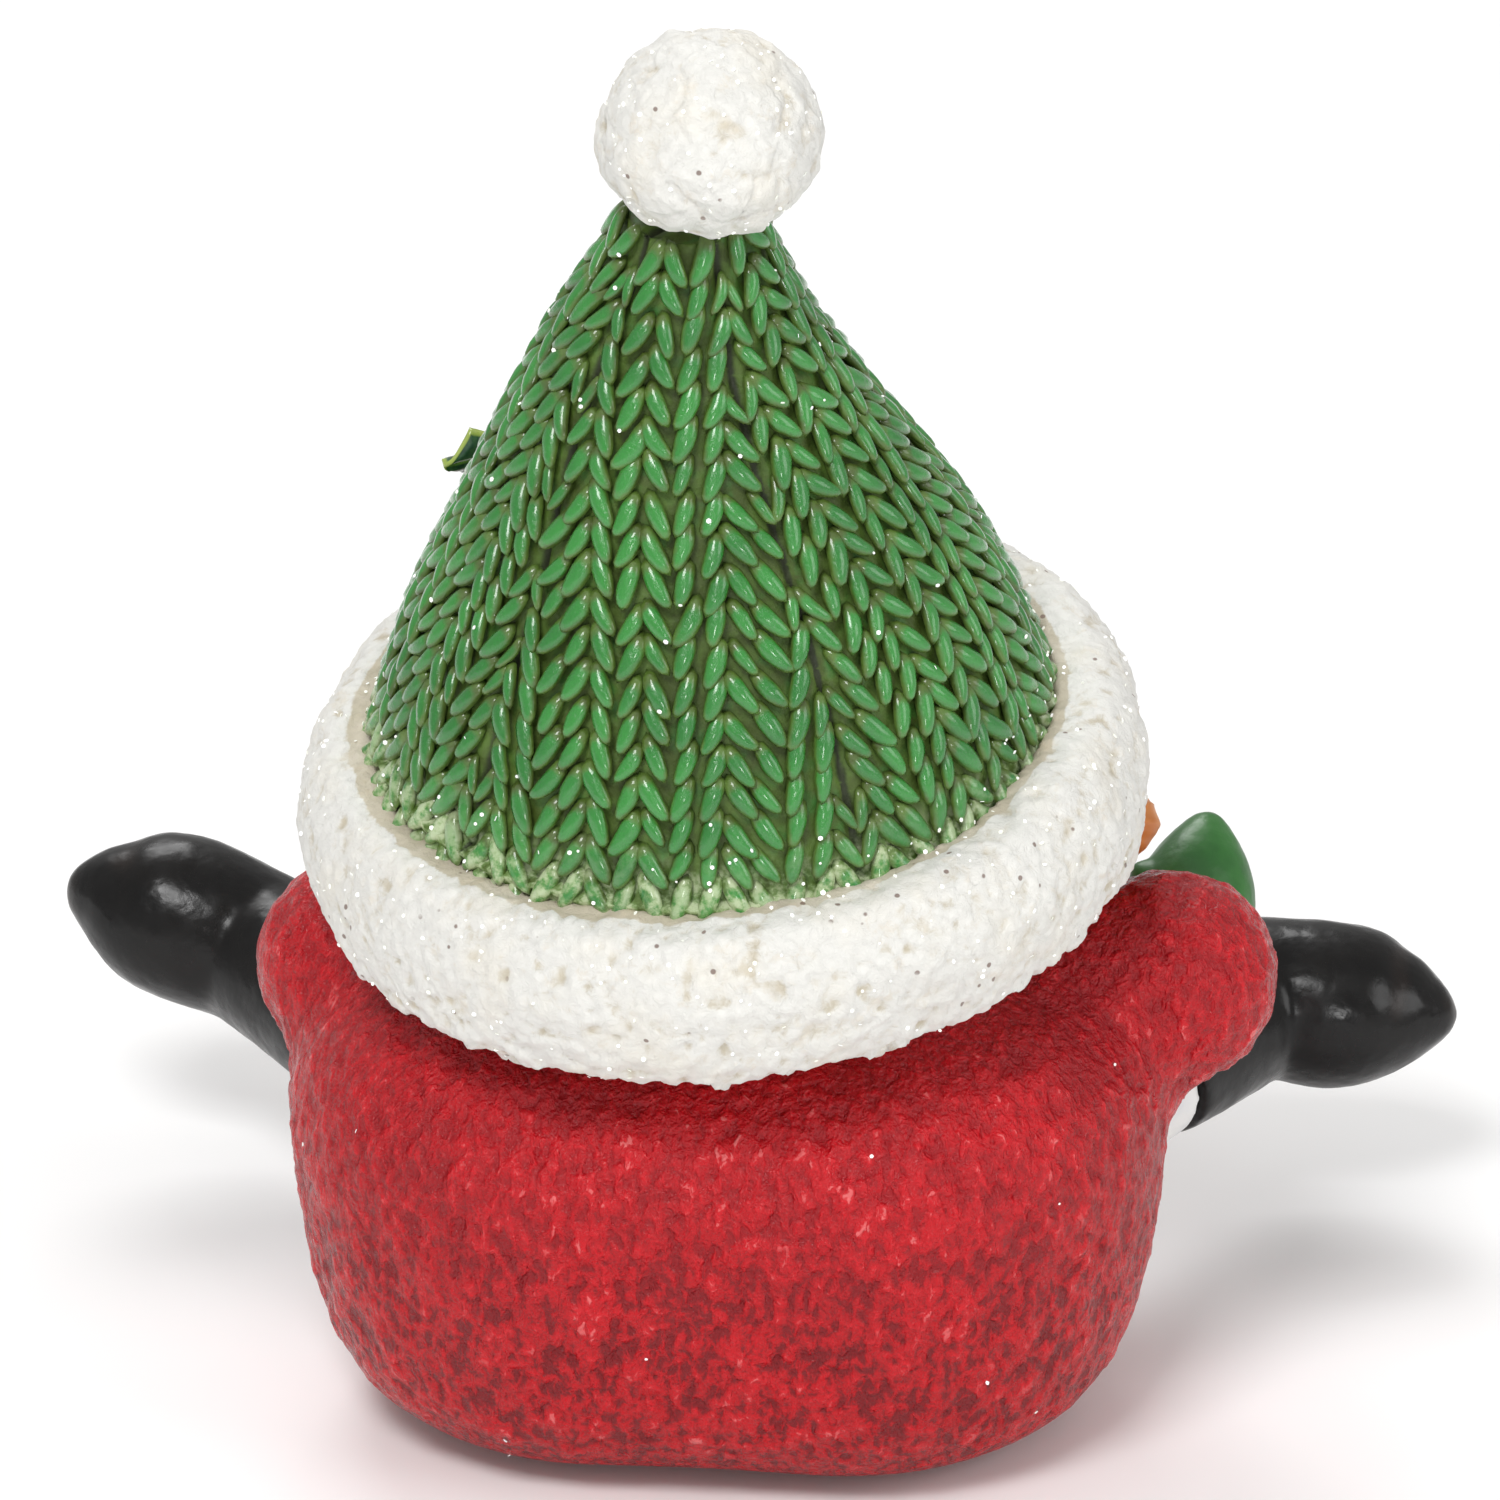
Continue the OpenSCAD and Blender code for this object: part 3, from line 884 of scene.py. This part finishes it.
def holly_leaf(node, root):
    """A prickly leaf with a raised midrib, side veins, wavy edges and a curled tip."""
    centre, long, wide, thin, (hl, hw) = flat_axes(node)
    if (centre - root) @ long < 0:
        long = -long
    wide = np.cross(thin, long)
    u = np.linspace(0, 1, 57)
    v = np.linspace(-1, 1, 29)
    lobes = np.abs(np.sin(3.5 * math.pi * u)) ** 0.7
    outline = np.sin(math.pi * u**0.85) ** 0.75 * (0.62 + 0.38 * (1 - lobes))
    outline = np.maximum(outline, 0.02)
    U, V = np.meshgrid(u, v, indexing="ij")
    x = (U - 0.5) * 2 * hl * 0.98
    y = V * outline[:, None] * hw * 1.15
    rib = np.exp(-((y / 0.45) ** 2))
    veins = np.exp(-((((U * 7 - np.abs(V) * 0.9) % 1.0) - 0.5) / 0.13) ** 2)
    veins = veins * (np.abs(V) < 0.9)
    cup = 0.09 * y**2 - 2.4 * (U - 0.25) ** 2
    edge = step(np.abs(V), 0.72, 1.0)
    wave = 0.5 * edge * np.cos(7 * math.pi * U)
    top = cup + wave + 0.35 * rib + 0.14 * veins * (1 - edge)
    point = centre + long * x[..., None] + wide * y[..., None] + thin * top[..., None]
    under = point - thin * (0.45 + 0.35 * (1 - edge))[..., None]
    rows, cols = U.shape
    points = np.concatenate([point.reshape(-1, 3), under.reshape(-1, 3)])
    size = rows * cols
    faces = []
    for i in range(rows - 1):
        for j in range(cols - 1):
            a = i * cols + j
            faces.append((a, a + cols, a + cols + 1, a + 1))
            faces.append((size + a, size + a + 1, size + a + cols + 1, size + a + cols))
    loop = [i * cols for i in range(rows)] + [(rows - 1) * cols + j for j in range(1, cols)]
    loop += [i * cols + cols - 1 for i in range(rows - 2, -1, -1)]
    loop += list(range(cols - 2, 0, -1))
    for a, b in zip(loop, loop[1:] + loop[:1]):
        faces.append((b, a, size + a, size + b))
    relief = 0.3 + 0.7 * np.maximum(rib, 0.6 * veins)
    rim = np.maximum(edge, step(U, 0.93, 1.0))
    return mesh_piece(node + "_painted", points, faces,
                      [("relief", np.tile(relief.ravel(), 2)), ("rim", np.tile(rim.ravel(), 2))])


def holly_berry(node, seed):
    low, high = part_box(node)
    centre = np.array((low + high) / 2) / MM
    radius = (high.x - low.x) / 2 / MM
    out = centre - HAT_BASE
    out -= CONE.axes[2] * (out @ CONE.axes[2])
    out /= np.linalg.norm(out)
    piece = bpy.data.objects.new(node + "_painted", bpy.data.meshes.new(node + "_painted"))
    SCENE.collection.objects.link(piece)
    ball = bmesh.new()
    bmesh.ops.create_icosphere(ball, subdivisions=5, radius=1.0)
    ball.to_mesh(piece.data)
    ball.free()
    d = coordinates(piece.data) * MM
    d /= np.linalg.norm(d, axis=1, keepdims=True)
    eye = d @ out
    dimple = -0.32 * np.exp(-(((1 - eye) / 0.035) ** 2)) + 0.12 * np.exp(
        -(((eye - 0.86) / 0.06) ** 2))
    p = centre + d * (radius * (1 + 0.03 * soft_noise(d, 0.8, seed)) + dimple)[:, None]
    put_coordinates(piece.data, p)
    put_value(piece.data, "relief", np.clip(0.9 - step(eye, 0.93, 0.99) * 0.8, 0, 1))
    return piece


# ---------------------------------------------------------------- glitter

FLAKE_SIDES = 6
FLAKE_RADII = (0.12, 0.27)
FLAKE_TILT = 0.38
FLAKE_LIFT = 0.08
GLITTER_SEED = 23
PROUD = 0.75  # how much a stitch faces outwards to hold a flake
FROSTED_TO = 6  # height of the frosted rows above the brim


def scatter_glitter(groups):
    """Small six-sided flakes, each tilted its own way, lying on the given surfaces."""
    rng = np.random.default_rng(GLITTER_SEED)
    points, faces = [], []
    ring = np.linspace(0, 2 * math.pi, FLAKE_SIDES, endpoint=False)
    for piece, number, test in groups:
        p, n = coordinates(piece.data), normals(piece.data)
        open_to_air = np.flatnonzero(test(p, n))
        for i in rng.choice(open_to_air, min(number, len(open_to_air)), replace=False):
            axis = n[i] + rng.normal(0, FLAKE_TILT, 3)
            axis /= np.linalg.norm(axis)
            a = np.cross(axis, [0.3, 0.5, 0.8])
            a /= np.linalg.norm(a)
            b = np.cross(axis, a)
            size = rng.uniform(*FLAKE_RADII)
            centre = p[i] + n[i] * FLAKE_LIFT
            start = len(points)
            for level in (-0.03, 0.03):
                for angle in ring:
                    points.append(centre + axis * level
                                  + size * (math.cos(angle) * a + math.sin(angle) * b))
            top = [start + FLAKE_SIDES + k for k in range(FLAKE_SIDES)]
            faces.append(tuple(top))
            faces.append(tuple(start + k for k in reversed(range(FLAKE_SIDES))))
            for k in range(FLAKE_SIDES):
                m = (k + 1) % FLAKE_SIDES
                faces.append((start + k, start + m, start + FLAKE_SIDES + m,
                              start + FLAKE_SIDES + k))
    return mesh_piece("glitter_flakes", np.array(points), faces)


# ---------------------------------------------------------------- the figure

make_camera()
make_lights()

COAT = coat_paint()
FUR = fur_paint()
KNIT = knit_paint("knit_paint", 0.7)
KNIT_GROUND = knit_paint("knit_ground_paint", 0.0)
BOOT = boot_paint()
MITTEN = plain_paint("mitten_paint", rgb(36, 92, 36), rgb(48, 110, 44), rgb(84, 74, 38),
                     0.3, 0.45)
STOCKING = plain_paint("stocking_paint", rgb(222, 224, 226), rgb(236, 236, 234),
                       rgb(190, 190, 192), 0.42, 0.6)
SKIN = plain_paint("skin_paint", rgb(226, 168, 134), rgb(238, 186, 152), rgb(186, 112, 78),
                   0.38, 0.5)
NOSE = plain_paint("nose_paint", rgb(222, 140, 112), rgb(236, 168, 138), rgb(190, 96, 70),
                   0.3, 0.42)
GINGER = plain_paint("ginger_paint", rgb(186, 108, 48), rgb(206, 130, 62), rgb(122, 60, 24),
                     0.34, 0.5)
BERRY = plain_paint("berry_paint", rgb(176, 20, 28), rgb(196, 28, 34), rgb(70, 20, 16),
                    0.12, 0.22)
LEAF = leaf_paint()
FELT = felt_cloth()
FLAKE = glitter_flake()

CASTS = [
    ("base_pad", 0.5, 1, felt_relief, FELT),
    ("fur_collar", 0.5, 4, fur_relief, FUR),
    ("head", 0.7, 6, skin_relief, SKIN),
    ("nose", 0.25, 4, skin_relief, NOSE),
    ("beard", 0.35, 4, beard_relief, GINGER),
    ("side_whiskers_left", 0.3, 4, whisker_relief, GINGER),
    ("side_whiskers_right", 0.3, 4, whisker_relief, GINGER),
    ("moustache_left", 0.22, 4, whisker_relief, GINGER),
    ("moustache_right", 0.22, 4, whisker_relief, GINGER),
    ("hat_brim", 0.4, 5, brim_relief, FUR),
    ("pompom", 0.24, 3, pompom_relief, FUR),
    ("cuff_left", 0.25, 4, fur_relief, FUR),
    ("cuff_right", 0.25, 4, fur_relief, FUR),
    ("mitten_left", 0.3, 10, mitten_relief, MITTEN),
    ("mitten_right", 0.3, 10, mitten_relief, MITTEN),
    ("leg_left", 0.4, 8, soft_relief, STOCKING),
    ("leg_right", 0.4, 8, soft_relief, STOCKING),
    ("boot_left", 0.4, 10, boot_relief, BOOT),
    ("boot_right", 0.4, 10, boot_relief, BOOT),
]

COAT_NODES = ["body_casting", "arm_left", "arm_right"]

CONE = ConeSurface()
made = {}
piece = blended_copy(COAT_NODES, "coat_painted", 0.5, 0.35, 4, 4.5)
sculpt(piece, coat_relief)
made["coat"] = finish_piece(piece, COAT, COAT_NODES)
for node, voxel, rounds, relief, material in CASTS:
    piece = fine_copy(node, node + "_painted", voxel, rounds)
    sculpt(piece, relief)
    made[node] = finish_piece(piece, material, [node])

made["ground"] = finish_piece(knit_ground(), KNIT_GROUND, ["hat_cone"])
made["stitches"] = finish_piece(knit_stitches(), KNIT)

sprig = np.mean([np.array(sum(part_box(n), Vector())) / 2 / MM
                 for n in ("holly_berry_upper", "holly_berry_lower", "holly_berry_front")], 0)
for side in ("upper", "lower", "front"):
    finish_piece(holly_leaf("holly_leaf_" + side, sprig), LEAF, ["holly_leaf_" + side])
for seed, side in enumerate(("upper", "lower", "front")):
    finish_piece(holly_berry("holly_berry_" + side, 140 + seed), BERRY, ["holly_berry_" + side])


def anywhere(p, n):
    return np.ones(len(p), bool)


def hat_frame(p, n, axes):
    """Points in a frame of the hat, and how much they face away from its middle."""
    local = (p - HAT_BASE) @ axes.T
    ray = local[:, :2] / np.linalg.norm(local[:, :2], axis=1, keepdims=True)
    return local, ((n @ axes.T)[:, :2] * ray).sum(1)


def facing_out(p, n):
    """On the brim: not under it, and not against the cone."""
    axes = brim_axes()
    return hat_frame(p, n, axes)[1] + 0.7 * (n @ axes[2]) > 0.1


def all_rows(p, n):
    return hat_frame(p, n, CONE.axes)[1] > PROUD


def low_rows(p, n):
    return all_rows(p, n) & (hat_frame(p, n, CONE.axes)[0][:, 2] < FROSTED_TO)


flakes = scatter_glitter([
    (made["hat_brim"], 420, facing_out),
    (made["pompom"], 170, anywhere),
    (made["stitches"], 150, low_rows),
    (made["stitches"], 110, all_rows),
    (made["cuff_left"], 14, anywhere),
    (made["cuff_right"], 14, anywhere),
    (made["coat"], 24, anywhere),
])
finish_piece(flakes, FLAKE)
flakes.data.polygons.foreach_set("use_smooth", [False] * len(flakes.data.polygons))


# ---------------------------------------------------------------- the floor


def make_floor():
    size = 3.0
    mesh = bpy.data.meshes.new("floor")
    mesh.from_pydata([(-size, -size, 0), (size, -size, 0), (size, size, 0), (-size, size, 0)],
                     [], [(0, 1, 2, 3)])
    floor = bpy.data.objects.new("floor", mesh)
    SCENE.collection.objects.link(floor)
    g = Graph("floor_paper")
    tone = g.mix(g.noise(40, 3.0), (0.94, 0.94, 0.94), (0.97, 0.97, 0.97))
    mesh.materials.append(g.shade(Base_Color=tone, Roughness=0.7))


make_floor()
